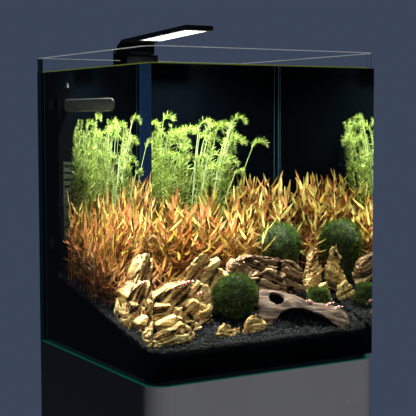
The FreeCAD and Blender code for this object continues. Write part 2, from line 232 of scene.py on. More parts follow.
def noise_node(tree, vector, scale, detail=4.0, rough=0.5):
    """Soft noise on these coordinates."""
    cloud = node(tree, "TexNoise", Scale=scale, Detail=detail, Roughness=rough)
    tree.links.new(vector, cloud.inputs["Vector"])
    return cloud.outputs["Fac"]


def ramp(tree, fac, stops):
    """A colour for each level of fac, through (level, colour) stops."""
    tones = node(tree, "ValToRGB")
    e = tones.color_ramp.elements
    while len(e) < len(stops):
        e.new(0.5)
    for i, (level, color) in enumerate(stops):
        e[i].position = level
        e[i].color = (*color, 1)
    tree.links.new(fac, tones.inputs["Fac"])
    return tones.outputs["Color"]


def blend(tree, fac, first, second):
    """Mixes two shaders; fac is a number or a socket."""
    mix = node(tree, "MixShader")
    if isinstance(fac, float):
        mix.inputs[0].default_value = fac
    else:
        tree.links.new(fac, mix.inputs[0])
    tree.links.new(first, mix.inputs[1])
    tree.links.new(second, mix.inputs[2])
    return mix.outputs[0]


def multiply(tree, color, tone):
    """One colour multiplied by another."""
    mix = node(tree, "MixRGB")
    mix.blend_type = "MULTIPLY"
    mix.inputs[0].default_value = 1.0
    tree.links.new(color, mix.inputs[1])
    tree.links.new(tone, mix.inputs[2])
    return mix.outputs[0]


def math_node(tree, operation, first, second):
    """A sum, difference or product of two sockets or numbers."""
    made = node(tree, "Math")
    made.operation = operation
    for slot, value in zip(made.inputs, (first, second)):
        if isinstance(value, float):
            slot.default_value = value
        else:
            tree.links.new(value, slot)
    return made.outputs[0]


def bump(tree, shader, height, strength, distance):
    """Fine relief on the shader."""
    rough = node(tree, "Bump", Strength=strength, Distance=distance)
    tree.links.new(height, rough.inputs["Height"])
    tree.links.new(rough.outputs["Normal"], shader.inputs["Normal"])


def speckled(name, dark, light, scale, rough=0.5, bump_mm=0.05, **values):
    """A plain finish with fine, soft variation in tone and a faint grain."""
    mat, tree, out = material(name)
    shader = principled(tree, out, **values)
    at = object_coords(tree)
    fac = noise_node(tree, at, scale)
    tree.links.new(ramp(tree, fac, [(0.3, dark), (0.7, light)]), shader.inputs["Base Color"])
    shader.inputs["Roughness"].default_value = rough
    bump(tree, shader, fac, 0.4, bump_mm / 1000)
    return mat


def clear_glass():
    """Thin clear panes: see-through, with the gloss of their outer faces and ground edges."""
    mat, tree, out = material("clear_pane")
    glass = node(tree, "BsdfTransparent", Color=(0.985, 0.995, 0.992, 1))
    gloss = node(tree, "BsdfGlossy", Roughness=0.02, Color=(0.22, 0.22, 0.22, 1))
    fresnel = node(tree, "Fresnel", IOR=1.2)
    front = math_node(tree, "SUBTRACT", 1.0, node(tree, "NewGeometry").outputs["Backfacing"])
    amount = math_node(tree, "MULTIPLY", fresnel.outputs[0], front)
    tree.links.new(blend(tree, amount, glass.outputs[0], gloss.outputs[0]), out.inputs["Surface"])
    return mat


def water_body():
    """Clear water that bends light, with a faint outer sheen, and lets lamps shine through to the bed."""
    mat, tree, out = material("clear_water")
    entering = node(tree, "BsdfRefraction", IOR=WATER_IOR, Roughness=0.0)
    leaving = node(tree, "BsdfRefraction", IOR=WATER_IOR, Roughness=0.0, Color=(0.16, 0.36, 0.56, 1))
    sheen = node(tree, "BsdfGlossy", Roughness=0.0, Color=(0.2, 0.2, 0.2, 1))
    mirror = node(tree, "BsdfGlossy", Roughness=0.0, Color=(0.86, 0.88, 0.80, 1))
    fresnel = node(tree, "Fresnel", IOR=WATER_IOR).outputs[0]
    outer = blend(tree, fresnel, entering.outputs[0], sheen.outputs[0])
    inner = blend(tree, fresnel, leaving.outputs[0], mirror.outputs[0])
    both = blend(tree, node(tree, "NewGeometry").outputs["Backfacing"], outer, inner)
    clear = node(tree, "BsdfTransparent", Color=(0.96, 0.98, 0.98, 1))
    shadow = node(tree, "LightPath").outputs["Is Shadow Ray"]
    tree.links.new(blend(tree, shadow, both, clear.outputs[0]), out.inputs["Surface"])
    return mat


def lit_panel():
    """A lit diffuser with rows of brighter spots."""
    mat, tree, out = material("lit_panel")
    shader = principled(tree, out, Roughness=0.4, Base_Color=(1, 1, 1, 1), Emission_Strength=3.4)
    flat = node(tree, "Mapping", Scale=(1, 1, 0))
    tree.links.new(object_coords(tree), flat.inputs["Vector"])
    cells = node(tree, "TexVoronoi", Scale=85, Randomness=0.0)
    tree.links.new(flat.outputs["Vector"], cells.inputs["Vector"])
    tone = ramp(tree, cells.outputs["Distance"], [(0.25, (1.0, 1.0, 0.98)), (0.5, (0.07, 0.08, 0.09))])
    tree.links.new(tone, shader.inputs["Emission Color"])
    return mat


# ---- stone, wood and moss ----
def even(obj, voxel):
    """Makes one closed mesh with faces of an even size."""
    mod = obj.modifiers.new("even", "REMESH")
    mod.mode = "VOXEL"
    mod.voxel_size = voxel
    bpy.ops.object.modifier_apply(modifier=mod.name)
    return obj


def node_copy(name, node_name, voxel):
    """A copy of a CAD node's skin as one closed, evenly faced mesh."""
    src = frame["nodes"][node_name]
    mesh = src.data.copy()
    mesh.transform(src.matrix_world)
    obj = bpy.data.objects.new(name, mesh)
    bpy.context.scene.collection.objects.link(obj)
    only(obj)
    bpy.ops.object.mode_set(mode="EDIT")
    bpy.ops.mesh.select_all(action="SELECT")
    bpy.ops.mesh.remove_doubles(threshold=0.00005)
    bpy.ops.object.mode_set(mode="OBJECT")
    return even(obj, voxel)


def lumps(co, *octaves):
    """Noise at each point, summed over (frequency, amount) pairs."""
    return np.array([sum(noise.noise(Vector(p) * f) * amount for f, amount in octaves) for p in co])


def craggy(obj, seed, block, depth, pits, tilt):
    """Breaks a smooth stone into slanted slabs with cracks, pits and sharp ledges, and stores a tone that is
    painted shade in the cracks, gaps and pits and painted highlight on the ledges.
    """
    rng = random.Random(seed)
    turn = Euler(tilt).to_matrix()
    shift = Vector((rng.uniform(0, 50), rng.uniform(0, 50), rng.uniform(0, 50)))
    co, no = points(obj), normals(obj)
    out = co.copy()
    hollow = np.zeros(len(co))
    for i, (p, n) in enumerate(zip(co, no)):
        v = Vector(p) + shift
        warp = Vector((noise.noise(v * 22), noise.noise(v * 22 + shift), noise.noise(v * 26 - shift)))
        q = turn @ (v + warp * 0.012)
        flat = Vector((q.x * 0.55 / block, q.y * 0.8 / block, q.z * 2.4 / block))
        near, spots = noise.voronoi(flat)
        level = noise.noise(spots[0] * 7.3) * 2.2
        crack = max(0.0, 0.09 - (near[1] - near[0])) * 5 * (0.5 + noise.noise(v * 30))
        bank = q.z / (block * 0.20) + noise.noise(v * 24) * 1.1 + noise.noise(v * 75) * 0.35
        over = bank - math.floor(bank)
        shelf = noise.noise(Vector((math.floor(bank) * 3.7, q.x * 14, q.y * 14))) * 2.6 + over * 0.9 - 0.45
        gap = max(0.0, 0.20 - over) * 4.5 * (0.75 + 0.6 * noise.noise(v * 48))
        bed = noise.noise(Vector((q.x * 9, q.y * 9, q.z * 130)))
        thin = noise.noise(Vector((q.x * 30, q.y * 30, q.z * 430)))
        pit = max(0.0, noise.noise(q * 55) + 0.5 * noise.noise(q * 150) - 0.34) * 2.4
        fine = noise.noise(v * 300) * 0.22 + thin * 0.30 + bed * 0.5
        swell = noise.noise(v * 17) * 1.6
        d = depth * (level * 0.35 + swell * 0.4 + shelf + fine * 0.8 - 0.6 * crack - 0.9 * gap) - pits * pit
        out[i] = p + n * (d - depth * 0.15)
        # painted shade and highlight: hollow is lowered in cracks, gaps and pits and raised on the ledges'
        # shelves, with level and fine adding tone that varies
        hollow[i] = 0.68 + 0.10 * level + 0.16 * shelf + fine * 0.6 - 0.9 * crack - 0.95 * gap - 0.9 * pit
    move_points(obj, out)
    store(obj, "relief", np.clip(hollow, 0, 1))
    return obj


def hull(points_):
    """A closed block around a few chosen points."""
    bm = bmesh.new()
    for p in points_:
        bm.verts.new([c / 1000 for c in p])
    made = bmesh.ops.convex_hull(bm, input=bm.verts)
    loose = [v for v in made["geom_interior"] if isinstance(v, bmesh.types.BMVert)]
    bmesh.ops.delete(bm, geom=loose, context="VERTS")
    bmesh.ops.recalc_face_normals(bm, faces=bm.faces)
    mesh = bpy.data.meshes.new("block")
    bm.to_mesh(mesh)
    bm.free()
    obj = bpy.data.objects.new("block", mesh)
    bpy.context.scene.collection.objects.link(obj)
    return obj


def slabs(name, groups, voxel):
    """Blocks laid against each other and made into one evenly faced stone."""
    parts = [hull(g) for g in groups]
    only(parts[0])
    for obj in parts[1:]:
        obj.select_set(True)
    if len(parts) > 1:
        bpy.ops.object.join()
    stone = bpy.context.object
    stone.name = name
    return even(stone, voxel)


def slab(outline, y0, y1, slip=(0, 0), taper=1.0):
    """Points of a slab from an (x, z) outline at its front y0, slipped and tapered to its back y1."""
    cx = sum(x for x, z in outline) / len(outline)
    cz = sum(z for x, z in outline) / len(outline)
    back = [(cx + (x - cx) * taper + slip[0], y1, cz + (z - cz) * taper + slip[1]) for x, z in outline]
    return [(x, y0, z) for x, z in outline] + back


def broken_stone(name, deep, mid, pale, tilt=(0.1, 0.5, 0.0)):
    """Layered stone, also the log's finish: deep, mid and pale tones follow the stored relief, which on the
    stones is painted shade, dark in their hollows, and painted highlight, pale on their ledges; rust and
    grey patches and bedding lines vary the tone.
    """
    mat, tree, out = material(name)
    shader = principled(tree, out, Roughness=0.85, Specular_IOR_Level=0.25)
    at = object_coords(tree)
    tone = ramp(tree, attribute(tree, "relief"), [(0.08, deep), (0.42, mid), (0.8, pale)])
    rust = [(0.36, (0.55, 0.42, 0.3)), (0.52, (1, 0.96, 0.9)), (0.68, (1.15, 1.12, 1.1))]
    patched = multiply(tree, tone, ramp(tree, noise_node(tree, at, 38, 6, 0.65), rust))
    beds = node(tree, "Mapping", Rotation=tilt, Scale=(50, 50, 520))
    tree.links.new(at, beds.inputs["Vector"])
    line = noise_node(tree, beds.outputs["Vector"], 1.0, 5, 0.6)
    seams = [(0.36, (0.55, 0.46, 0.36)), (0.48, (0.97, 0.95, 0.92)), (0.66, (1.2, 1.2, 1.2))]
    tree.links.new(multiply(tree, patched, ramp(tree, line, seams)), shader.inputs["Base Color"])
    height = math_node(tree, "ADD", noise_node(tree, at, 420, 8, 0.7), line)
    bump(tree, shader, height, 0.9, 0.0014)
    return mat


def tufts(name, surface, count, length, width, seed, up=0.25):
    """Short soft blades standing on a surface mesh."""
    rng = np.random.default_rng(seed)
    co, no = points(surface), normals(surface)
    pick = rng.integers(0, len(co), count)
    root = co[pick] + rng.normal(0, length * 0.15, (count, 3))
    d = no[pick] + rng.normal(0, 0.42, (count, 3)) + np.array([0, 0, up])
    d /= np.linalg.norm(d, axis=1)[:, None]
    side = np.cross(d, rng.normal(0, 1, (count, 3)))
    side /= np.linalg.norm(side, axis=1)[:, None]
    long = length * rng.uniform(0.5, 1.25, count)[:, None]
    droop = rng.normal(0, 0.22, (count, 3))
    a = root - side * width / 2
    b = root + side * width / 2
    c = root + d * long * 0.6 + side * width * 0.3
    e = root + (d + droop * 0.5) * long
    verts = np.stack([a, b, c, e], 1).reshape(-1, 3)
    faces = []
    for k in range(count):
        o = 4 * k
        faces += [(o, o + 1, o + 2), (o, o + 2, o + 3)]
    obj = mesh_object(name, verts, faces)
    store(obj, "shade", np.repeat(rng.random(count), 4))
    tip = np.tile([0.0, 0.0, 0.6, 1.0], count)
    store(obj, "tip", tip)
    return obj


def leafy(name, stops, glow=0.35, rough=0.45):
    """Thin leaves that let some light through, each blade a little different."""
    mat, tree, out = material(name)
    tone = ramp(tree, attribute(tree, "shade"), stops)
    cloud = noise_node(tree, object_coords(tree), 60, 3)
    color = multiply(tree, tone, ramp(tree, cloud, [(0.3, (0.75, 0.75, 0.75)), (0.7, (1.15, 1.15, 1.15))]))
    shader = node(tree, "BsdfPrincipled", Roughness=rough, Specular_IOR_Level=0.12)
    through = node(tree, "BsdfTranslucent")
    tree.links.new(color, shader.inputs["Base Color"])
    tree.links.new(color, through.inputs["Color"])
    tree.links.new(blend(tree, glow, shader.outputs[0], through.outputs[0]), out.inputs["Surface"])
    return mat


def leaf_tones(root, mid, tip):
    """Tones of a leaf from its darkest to its palest."""
    return [(0.1, root), (0.5, mid), (0.92, tip)]


def aim(direction, twist=0.0):
    """A matrix that turns +Z to point along direction."""
    return Vector(direction).to_track_quat("Z", "Y").to_matrix().to_4x4() @ Matrix.Rotation(twist, 4, "Z")


def place(at, direction, twist, size):
    """A matrix that sets a piece at a point, turned to a direction and sized."""
    return Matrix.Translation(at) @ aim(direction, twist) @ Matrix.Diagonal((*size, 1))


def leaf_proto(width, length, curl):
    """One leaf along +Z: a folded blade that widens, tapers to a point and curls over."""
    deselect()
    bpy.ops.mesh.primitive_grid_add(x_subdivisions=2, y_subdivisions=5, size=1)
    leaf = bpy.context.object
    co = points(leaf)
    t = co[:, 1] + 0.5
    w = 2.05 * (t + 0.04) ** 0.7 * np.clip(1.001 - t, 0, 1) ** 0.95
    x = co[:, 0] * 2 * w * width / 2
    fold = np.abs(co[:, 0]) * 0.07 * w
    a = curl * t
    z = length * (np.sin(a) / curl if abs(curl) > 1e-4 else t)
    y = length * ((1 - np.cos(a)) / curl if abs(curl) > 1e-4 else 0 * t) + fold
    move_points(leaf, np.stack([x, y, z], 1))
    leaf.data.shade_smooth()
    return leaf


def tube_strip(path, radius):
    """Verts and faces of a slim three-sided stalk along a path."""
    verts, faces = [], []
    for i, (p, r) in enumerate(zip(path, radius)):
        for k in range(3):
            a = FULL_TURN * k / 3
            verts.append((p[0] + r * math.cos(a), p[1] + r * math.sin(a), p[2]))
        if i:
            o = 3 * i
            for k in range(3):
                j = (k + 1) % 3
                faces.append((o - 3 + k, o - 3 + j, o + j, o + k))
    return verts, faces


def stalks(name, paths, base, tip):
    """Slim stalks along paths, thinning from base to tip."""
    verts, faces, shade = [], [], []
    for n, path in enumerate(paths):
        radius = [base + (tip - base) * i / (len(path) - 1) for i in range(len(path))]
        v, f = tube_strip(path, radius)
        faces += [tuple(k + len(verts) for k in face) for face in f]
        verts += v
        shade += [0.35 + 0.5 * ((n * 7) % 11) / 11] * len(v)
    obj = mesh_object(name, verts, faces, True)
    store(obj, "shade", shade)
    return obj


def painted_edge_glow(name, color, glow):
    """Ground glass edges: a tinted colour that also glows, a painted glow standing in for their sheen and
    the light carried along inside the pane.
    """
    mat, tree, out = material(name)
    shader = principled(tree, out, Roughness=0.25)
    at = object_coords(tree)
    tone = ramp(tree, noise_node(tree, at, 18, 2), [(0.3, tuple(c * 0.8 for c in color)), (0.7, color)])
    tree.links.new(tone, shader.inputs["Base Color"])
    tree.links.new(tone, shader.inputs["Emission Color"])
    shader.inputs["Emission Strength"].default_value = glow
    return mat


def outline(inset, steps=16):
    """The tank's plan with both front corners rounded, drawn in by inset."""
    half, r = GLASS_HIGH.x - inset, CORNER - inset
    pts = [(half, GLASS_HIGH.y - inset), (-half, GLASS_HIGH.y - inset)]
    for x, start in ((-half + r, 180), (half - r, 270)):
        for k in range(steps + 1):
            a = math.radians(start + 90 * k / steps)
            pts.append((x + r * math.cos(a), -half + r + r * math.sin(a)))
    return pts


def rounded_band(name, near, far, low, high, open_back):
    """A band that follows the panes between two insets; it may leave out the back."""
    a, b = outline(near), outline(far)
    n = len(a)
    verts = [(x, y, z) for z in (low, high) for ring in (a, b) for x, y in ring]
    faces = []
    for k in range(n):
        j = (k + 1) % n
        if open_back and k == 0:
            continue
        faces += [
            (k, k + 2 * n, j + 2 * n, j),
            (n + k, n + j, 3 * n + j, 3 * n + k),
            (2 * n + k, 3 * n + k, 3 * n + j, 2 * n + j),
            (k, j, n + j, n + k),
        ]
    if open_back:
        faces += [(0, n, 3 * n, 2 * n), (1, 1 + 2 * n, 1 + 3 * n, 1 + n)]
    obj = mesh_object(name, verts, faces)
    outward(obj)
    return obj


def outward(obj):
    """Turns every face outwards."""
    only(obj)
    bpy.ops.object.mode_set(mode="EDIT")
    bpy.ops.mesh.select_all(action="SELECT")
    bpy.ops.mesh.normals_make_consistent(inside=False)
    bpy.ops.object.mode_set(mode="OBJECT")


def plate(x, half_x, y0, y1, z0, z1):
    """Corners of a thin upright plate."""
    return [(x + sx * half_x, y, z) for z in (z0, z1) for y in (y0, y1) for sx in (-1, 1)]


def mesh_from_plates(name, plates):
    """One object of several plates."""
    box = ((0, 2, 3, 1), (4, 5, 7, 6), (0, 1, 5, 4), (2, 6, 7, 3), (0, 4, 6, 2), (1, 3, 7, 5))
    verts, faces = [], []
    for p in plates:
        faces += [tuple(i + len(verts) for i in f) for f in box]
        verts += p
    return mesh_object(name, verts, faces)


def ease(obj, width):
    """Softens the edges of a machined part."""
    weld = obj.modifiers.new("weld", "WELD")
    weld.merge_threshold = 0.00002
    soft = obj.modifiers.new("soft_edges", "BEVEL")
    soft.width = width
    soft.segments = 2
    soft.limit_method = "ANGLE"
    soft.angle_limit = math.radians(40)
    soft.harden_normals = True


def gravel_look(name, dark, light):
    """A packed bed: every grain its own tone, with dents between the grains."""
    mat, tree, out = material(name)
    shader = principled(tree, out, Roughness=0.85, Specular_IOR_Level=0.05)
    cell = node(tree, "TexVoronoi", Scale=420)
    tree.links.new(object_coords(tree), cell.inputs["Vector"])
    tone = ramp(tree, cell.outputs["Color"], [(0.2, dark), (0.9, light)])
    tree.links.new(tone, shader.inputs["Base Color"])
    bump(tree, shader, cell.outputs["Distance"], 0.8, 0.0008)
    return mat


def grain_look():
    """Loose grains: mostly near black, a few pale."""
    mat, tree, out = material("gravel_grain")
    shader = principled(tree, out, Roughness=0.6, Specular_IOR_Level=0.15)
    stops = (
        (0.0, (0.0015, 0.0018, 0.0022)),
        (0.6, (0.006, 0.007, 0.009)),
        (0.93, (0.016, 0.019, 0.023)),
        (1.0, (0.06, 0.068, 0.078)),
    )
    tree.links.new(ramp(tree, attribute(tree, "shade"), stops), shader.inputs["Base Color"])
    return mat


def smoke_look():
    """Smoked see-through plastic."""
    mat, tree, out = material("smoke_plastic")
    shader = node(tree, "BsdfPrincipled", Roughness=0.25)
    cloud = noise_node(tree, object_coords(tree), 80)
    tone = ramp(tree, cloud, [(0.3, (0.060, 0.070, 0.068)), (0.7, (0.11, 0.125, 0.12))])
    tree.links.new(tone, shader.inputs["Base Color"])
    clear = node(tree, "BsdfTransparent", Color=(0.45, 0.50, 0.47, 1))
    tree.links.new(blend(tree, 0.45, shader.outputs[0], clear.outputs[0]), out.inputs["Surface"])
    return mat


def orange_look():
    """Narrow leaves from deep brown through orange and pink to pale yellow."""
    stops = (
        (0.0, (0.030, 0.020, 0.003)),
        (0.16, (0.13, 0.070, 0.008)),
        (0.36, (0.36, 0.130, 0.030)),
        (0.54, (0.48, 0.20, 0.085)),
        (0.74, (0.45, 0.30, 0.045)),
        (1.0, (0.78, 0.66, 0.22)),
    )
    return leafy("orange_leaf", stops, 0.4)


def needle_proto():
    """A fine needle of unit length along +Z, folded down its middle."""
    rows = ((0.0, 0.03), (0.35, 0.05), (0.75, 0.04), (1.0, 0.004))
    verts, faces = [], []
    for t, w in rows:
        bend = 0.22 * t * t
        verts += [(-w, bend + 0.02, t), (0, bend, t), (w, bend + 0.02, t)]
    for k in range(len(rows) - 1):
        o = 3 * k
        faces += [(o, o + 1, o + 4, o + 3), (o + 1, o + 2, o + 5, o + 4)]
    return mesh_object("needle", verts, faces, True)


def whorls(path, rng, step, count, length, spread):
    """Places of needles set in rings along a stem, shorter near its tip."""
    out = []
    total = sum((b - a).length for a, b in zip(path, path[1:]))
    done = 0.0
    left = step
    for a, b in zip(path, path[1:]):
        seg = (b - a).length
        along = (b - a).normalized()
        u = along.orthogonal().normalized()
        w = along.cross(u)
        while left < seg:
            p = a + along * left
            t = (done + left) / total
            swell = 0.75 + 0.5 * math.sin(math.pi * min(1.0, t * 1.05)) ** 0.7
            size = length * swell * (1.0 - 0.35 * t**6)
            turn = rng.uniform(0, 6.28)
            for k in range(count):
                ang = turn + 6.283 * k / count + rng.uniform(-0.25, 0.25)
                out_dir = u * math.cos(ang) + w * math.sin(ang)
                rise = rng.uniform(0.35, 1.0)
                d = (out_dir + along * rise).normalized()
                s = size * rng.uniform(*spread)
                out.append(place(p, d, rng.uniform(-3, 3), (s, s, s)))
            left += step
        left -= seg
        done += seg
    return out


# Slabs of each stone, in millimetres: an (x, z) outline from front to back.
STONES = {
    "main_rock": (
        slab(
            (
                (-104, 836),
                (-80, 858),
                (-56, 884),
                (-43, 878),
                (-20, 852),
                (-9, 826),
                (-10, 806),
                (-46, 768),
                (-104, 764),
            ),
            -58, -8, (14, -4), 0.86,
        ),
        slab(
            ((-142, 826), (-118, 838), (-84, 846), (-58, 836), (-44, 806), (-50, 766), (-142, 762)),
            -74, -24, (4, 2), 0.86,
        ),
        slab(
            ((-112, 808), (-84, 818), (-58, 806), (-48, 784), (-54, 762), (-116, 760)),
            -92, -60, (6, 4), 0.85,
        ),
    ),
    "left_rock": (
        slab(
            ((-166, 800), (-150, 818), (-118, 816), (-98, 800), (-96, 760), (-168, 758)),
            -92, -44, (2, 2), 0.85,
        ),
        slab(((-150, 792), (-120, 802), (-86, 792), (-80, 762), (-152, 760)), -114, -76, (2, 2), 0.85),
    ),
    "front_slab": (
        slab(
            ((-172, 782), (-158, 790), (-136, 792), (-118, 782), (-112, 764), (-172, 760)),
            -160, -136, (4, 1), 0.8,
        ),
        slab(((-146, 786), (-124, 797), (-106, 786), (-104, 766), (-144, 762)), -146, -126, (3, 2), 0.8),
    ),
    "middle_rock": (
        slab(
            ((-6, 846), (2, 862), (30, 870), (66, 868), (92, 858), (84, 800), (4, 800)),
            -40, -6, (2, 0), 0.9,
        ),
        slab(
            ((60, 862), (86, 864), (112, 856), (128, 842), (132, 822), (112, 798), (58, 796)),
            -36, -4, (0, 0), 0.88,
        ),
        slab(((28, 842), (58, 850), (88, 838), (92, 796), (26, 796)), -52, -30, (2, 6), 0.8),
    ),
    "side_rock": (
        slab(
            ((148, 826), (156, 862), (163, 878), (170, 862), (178, 826), (176, 804), (150, 804)),
            -12, 14, (0, -4), 0.8,
        ),
        slab(((146, 820), (158, 838), (168, 830), (170, 800), (146, 800)), -20, -6, (0, 2), 0.8),
    ),
    "low_rock": (
        slab(
            ((144, 792), (150, 812), (164, 822), (172, 814), (177, 792), (170, 784), (148, 784)),
            -50, -32, (2, 0), 0.75,
        ),
    ),
    "front_stones": (
        slab(((-72, 770), (-66, 784), (-54, 790), (-44, 780), (-38, 768)), -150, -132, (2, 2), 0.7),
        slab(((-50, 768), (-42, 778), (-32, 782), (-30, 768)), -144, -130, (2, 2), 0.7),
        slab(
            ((-26, 770), (-20, 788), (-8, 798), (4, 794), (12, 776), (10, 766)),
            -146, -128, (2, 1), 0.7,
        ),
        slab(((2, 768), (8, 786), (16, 780), (20, 768)), -140, -126, (1, 1), 0.7),
    ),
}


# Finishes of the hard parts: (name, dark, light, grain, roughness, bump in millimetres), other sockets,
# width of the softened edges and the pieces.
FINISHES = (
    (
        ("stand_lacquer", (0.044, 0.044, 0.045), (0.047, 0.047, 0.048), 14.0, 0.5, 0.01),
        {"Specular_IOR_Level": 0.06},
        0.0008,
        ("stand_shell", "door"),
    ),
    (
        ("shelf_board", (0.055, 0.055, 0.057), (0.072, 0.072, 0.074), 45.0, 0.6),
        {},
        0.0006,
        ("top_panel", "bottom_panel", "back_panel", "shelf", "door_stop"),
    ),
    (
        ("steel", (0.45, 0.45, 0.46), (0.60, 0.60, 0.61), 300.0, 0.32, 0.01),
        {"Metallic": 1.0},
        0.0,
        ("door_pins", "shelf_pins", "strike_plate", "latch_body", "latch_plunger", "tilt_pin"),
    ),
    (
        ("black_rubber", (0.006, 0.006, 0.006), (0.012, 0.012, 0.012), 200.0, 0.8),
        {},
        0.0,
        ("port_grommet", "suction_cups", "clamp_pads", "cable_gland"),
    ),
    (
        ("black_plastic", (0.0008, 0.0009, 0.0011), (0.0016, 0.0017, 0.0020), 90.0, 0.5),
        {"Specular_IOR_Level": 0.0},
        0.0004,
        (
            "filter_housing",
            "pump_head",
            "pump_lid",
            "pump_strainer",
            "clamp_body",
            "clamp_screw",
            "lamp_button",
            "lamp_arm",
        ),
    ),
    (
        ("black_aluminium", (0.0045, 0.0042, 0.0042), (0.007, 0.0066, 0.0066), 260.0, 0.5, 0.01),
        {"Specular_IOR_Level": 0.15},
        0.0004,
        ("lamp_housing", "lamp_end_cap"),
    ),
    (
        ("grille_grey", (0.010, 0.015, 0.008), (0.016, 0.021, 0.012), 80.0, 0.7, 0.01),
        {"Specular_IOR_Level": 0.05},
        0.0,
        ("filter_grille",),
    ),
    (
        ("grey_plastic", (0.12, 0.12, 0.125), (0.16, 0.16, 0.165), 120.0, 0.5),
        {},
        0.0,
        ("flow_dial", "impeller"),
    ),
    (
        ("sponge", (0.020, 0.028, 0.016), (0.050, 0.062, 0.040), 420.0, 0.95, 0.6),
        {"Specular_IOR_Level": 0.05},
        0.0,
        ("filter_sponge",),
    ),
    (("motor_resin", (0.010, 0.010, 0.012), (0.02, 0.02, 0.022), 60.0, 0.3), {}, 0.0, ("pump_motor",)),
    (("ceramic", (0.72, 0.72, 0.70), (0.80, 0.80, 0.78), 100.0, 0.25), {}, 0.0, ("impeller_shaft",)),
    (("led_white", (0.75, 0.75, 0.74), (0.82, 0.82, 0.80), 150.0, 0.5), {}, 0.0, ("led_board",)),
)


class AquariumLook(bpy.types.PropertyGroup):
    """Colours and light levels a user may change."""

    room_color: FloatVectorProperty(
        name="Room colour",
        description="Colour of the plain room behind the tank",
        subtype="COLOR",
        default=(0.045, 0.060, 0.098),
    )
    lamp_power: FloatProperty(
        name="Lamp power",
        description="Power of the tank lamp",
        unit="POWER",
        default=6.6,
    )


def look():
    """The scene's settings for the aquarium."""
    return bpy.context.scene.aquarium_look


class AQ_OT_tank(bpy.types.Operator):
    """Gives the panes their glass, gives their ground edges a painted glow and fills the tank with water"""

    bl_idname = "aquarium.tank"
    bl_label = "Tank"

    def execute(self, context):
        glass = clear_glass()
        for name in ("bent_glass", "back_pane"):
            use(frame["nodes"][name], glass)
        # painted glow: the base pane and the seams get teal edges that glow faintly
        edge = painted_edge_glow("edge_teal_painted_glow", (0.0006, 0.005, 0.005), 0.03)
        for name in ("base_pane", "silicone_seams"):
            use(frame["nodes"][name], edge)
        film = speckled(
            "film", (0.0003, 0.0006, 0.0010), (0.0005, 0.0009, 0.0014), 20.0, 0.9, Specular_IOR_Level=0.0
        )
        use(frame["nodes"]["background_film"], film)
        self.water(film)
        inset = 0.0004
        top, low = GLASS_HIGH.z, GLASS_LOW.z
        # painted glow: a pale band at the top of the panes stands in for the lit rim
        rim = rounded_band("rim_edge", inset, PANE - inset, top - 0.0010, top - 0.0002, False)
        use(rim, painted_edge_glow("rim_painted_glow", (0.24, 0.26, 0.27), 0.8))
        # painted glow: a green band along the foot of the panes
        foot = rounded_band("foot_edge", inset, PANE - inset, low + 0.0001, low + 0.0006, True)
        use(foot, painted_edge_glow("foot_painted_glow", (0.004, 0.22, 0.14), 0.22))
        # painted glow on the upright edges of the back panes
        half, rear = PANE / 2, GLASS_HIGH.y
        back = [
            plate(side * (GLASS_HIGH.x - half), half - inset, rear - 0.0009, rear - 0.0002, low, top)
            for side in (-1, 1)
        ]
        ends = mesh_from_plates("back_edge", back)
        use(ends, painted_edge_glow("back_edge_painted_glow", (0.003, 0.050, 0.060), 0.06))
        # painted glow: a yellow-green band at the water's surface stands in for the lit meniscus
        line = rounded_band(
            "water_line", PANE + 0.0001, PANE + 0.0008, WATER_Z + 0.0001, WATER_Z + 0.0016, False
        )
        use(line, painted_edge_glow("meniscus_painted_glow", (0.16, 0.20, 0.012), 0.5))
        # painted glow on the silicone beads in the back corners
        beads = []
        far = GLASS_HIGH.x - PANE - 0.0006
        span = (BASE_TOP + 0.001, WATER_Z - 0.001)
        for side in (-1, 1):
            beads.append(plate(side * (far - 0.0003), 0.0003, far - 0.0062, far - 0.0052, *span))
            beads.append(plate(side * (far - 0.0055), 0.0005, far - 0.0006, far, *span))
        bead = mesh_from_plates("corner_beads", beads)
        use(bead, painted_edge_glow("bead_painted_glow", (0.010, 0.030, 0.045), 0.6))
        for obj in (rim, foot, ends, line, bead):
            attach(obj, "aquarium")
        return {"FINISHED"}

    def water(self, film):
        """The water as a block with rounded front corners; its back face shows the film."""
        gap = PANE + 0.0003
        half = GLASS_HIGH.x - gap
        low = BASE_TOP + 0.0003
        deselect()
        bpy.ops.mesh.primitive_cube_add(size=1, location=(0, 0, (low + WATER_Z) / 2))
        water = bpy.context.object
        water.name = "water"
        water.scale = (2 * half, 2 * half, WATER_Z - low)
        settle(water)
        bpy.ops.object.mode_set(mode="EDIT")
        bm = bmesh.from_edit_mesh(water.data)
        for e in bm.edges:
            a, b = (v.co for v in e.verts)
            e.select_set(abs(a.z - b.z) > 0.1 and a.y < 0)
        bmesh.update_edit_mesh(water.data)
        bpy.ops.mesh.bevel(offset=CORNER - gap, segments=48, profile=0.5)
        bpy.ops.object.mode_set(mode="OBJECT")
        water.data.shade_flat()
        use(water, water_body())
        water.data.materials.append(film)
        for face in water.data.polygons:
            if face.normal.y > 0.9:
                face.material_index = 1
        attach(water, "aquarium")


